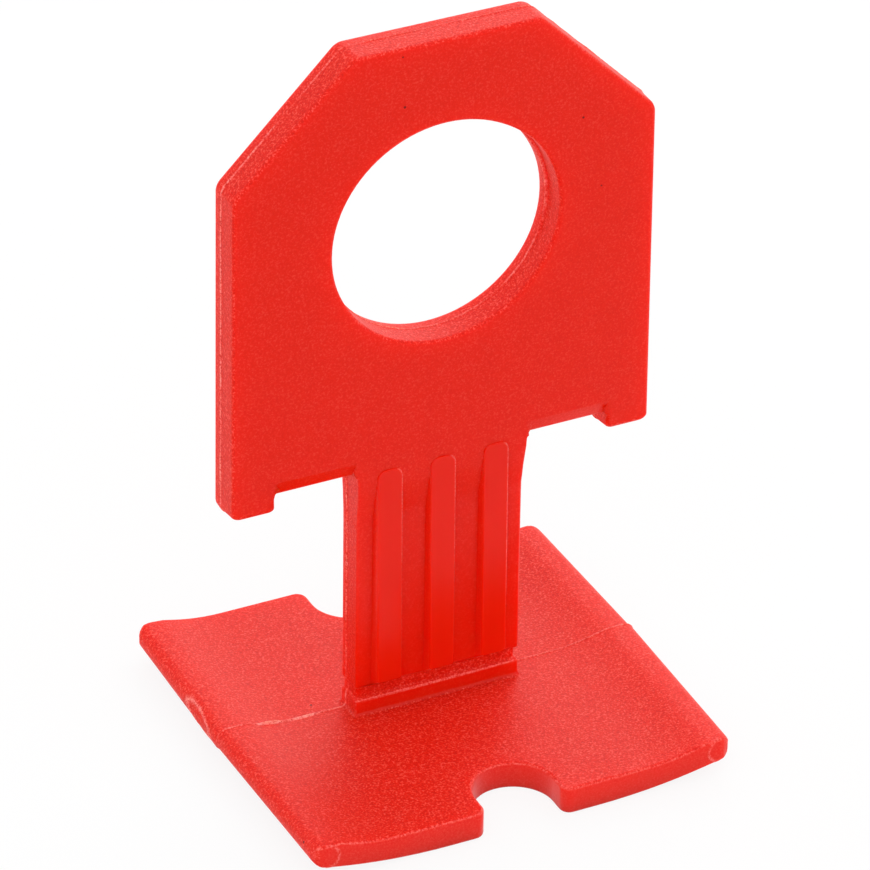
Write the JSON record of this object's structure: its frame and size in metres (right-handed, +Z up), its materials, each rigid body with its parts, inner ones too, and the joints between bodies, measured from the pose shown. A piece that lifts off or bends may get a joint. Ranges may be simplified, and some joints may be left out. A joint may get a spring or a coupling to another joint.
{
  "type": "tile levelling clip",
  "caption": "One-piece moulded plastic clip: a flat bevelled head with a round eye and small lower tabs, on a ribbed break-off neck over a square notched base with curled ends.",
  "frame": {"origin": "on the ground under the middle of the base", "axes": "+Z up, X across the width of the head and through the base's curled ends, -Y towards the ribbed front"},
  "size_m": [0.0312, 0.0286, 0.0524],
  "materials": {
    "red_plastic": "injection-moulded red polypropylene, fine spark-eroded grain, ribs smooth"
  },
  "bodies": {
    "root": {"clip": "red_plastic"}
  },
  "joints": []
}
